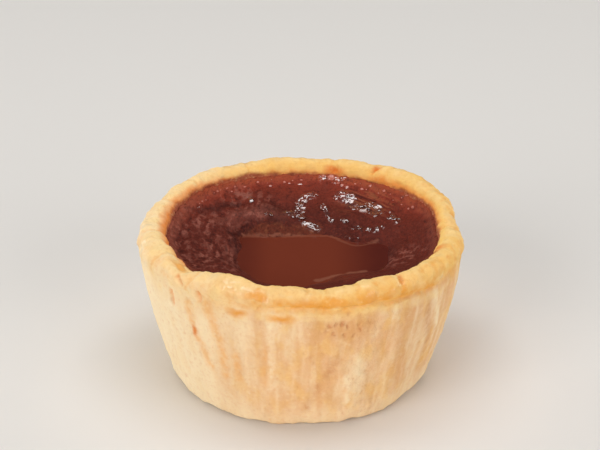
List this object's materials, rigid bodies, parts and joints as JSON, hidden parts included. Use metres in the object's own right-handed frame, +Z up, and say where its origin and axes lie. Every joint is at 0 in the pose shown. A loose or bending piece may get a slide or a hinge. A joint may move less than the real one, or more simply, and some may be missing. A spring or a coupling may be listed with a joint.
{
  "type": "butter tart",
  "caption": "Round butter tart: pale shortcrust cup with a rolled rim, a dark baked caramel filling sunk in the middle, and a pool of runny syrup in the hollow.",
  "frame": {"origin": "middle of the flat foot that the tart stands on, at the middle of its box", "axes": "+Z up out of the open top, -Y towards the front that the picture shows, +X to the right"},
  "size_m": [0.0724, 0.0722, 0.0368],
  "materials": {
    "pastry": "dry baked shortcrust, pale gold with browner streaks and rim",
    "filling": "dark baked caramel, crinkled and blistered, glossy at the back and dusty on the left",
    "syrup": "smooth runny syrup with a wet gloss"
  },
  "bodies": {
    "root": {"pastry_cup": "pastry", "filling": "filling", "syrup_pool": "syrup"}
  },
  "joints": []
}
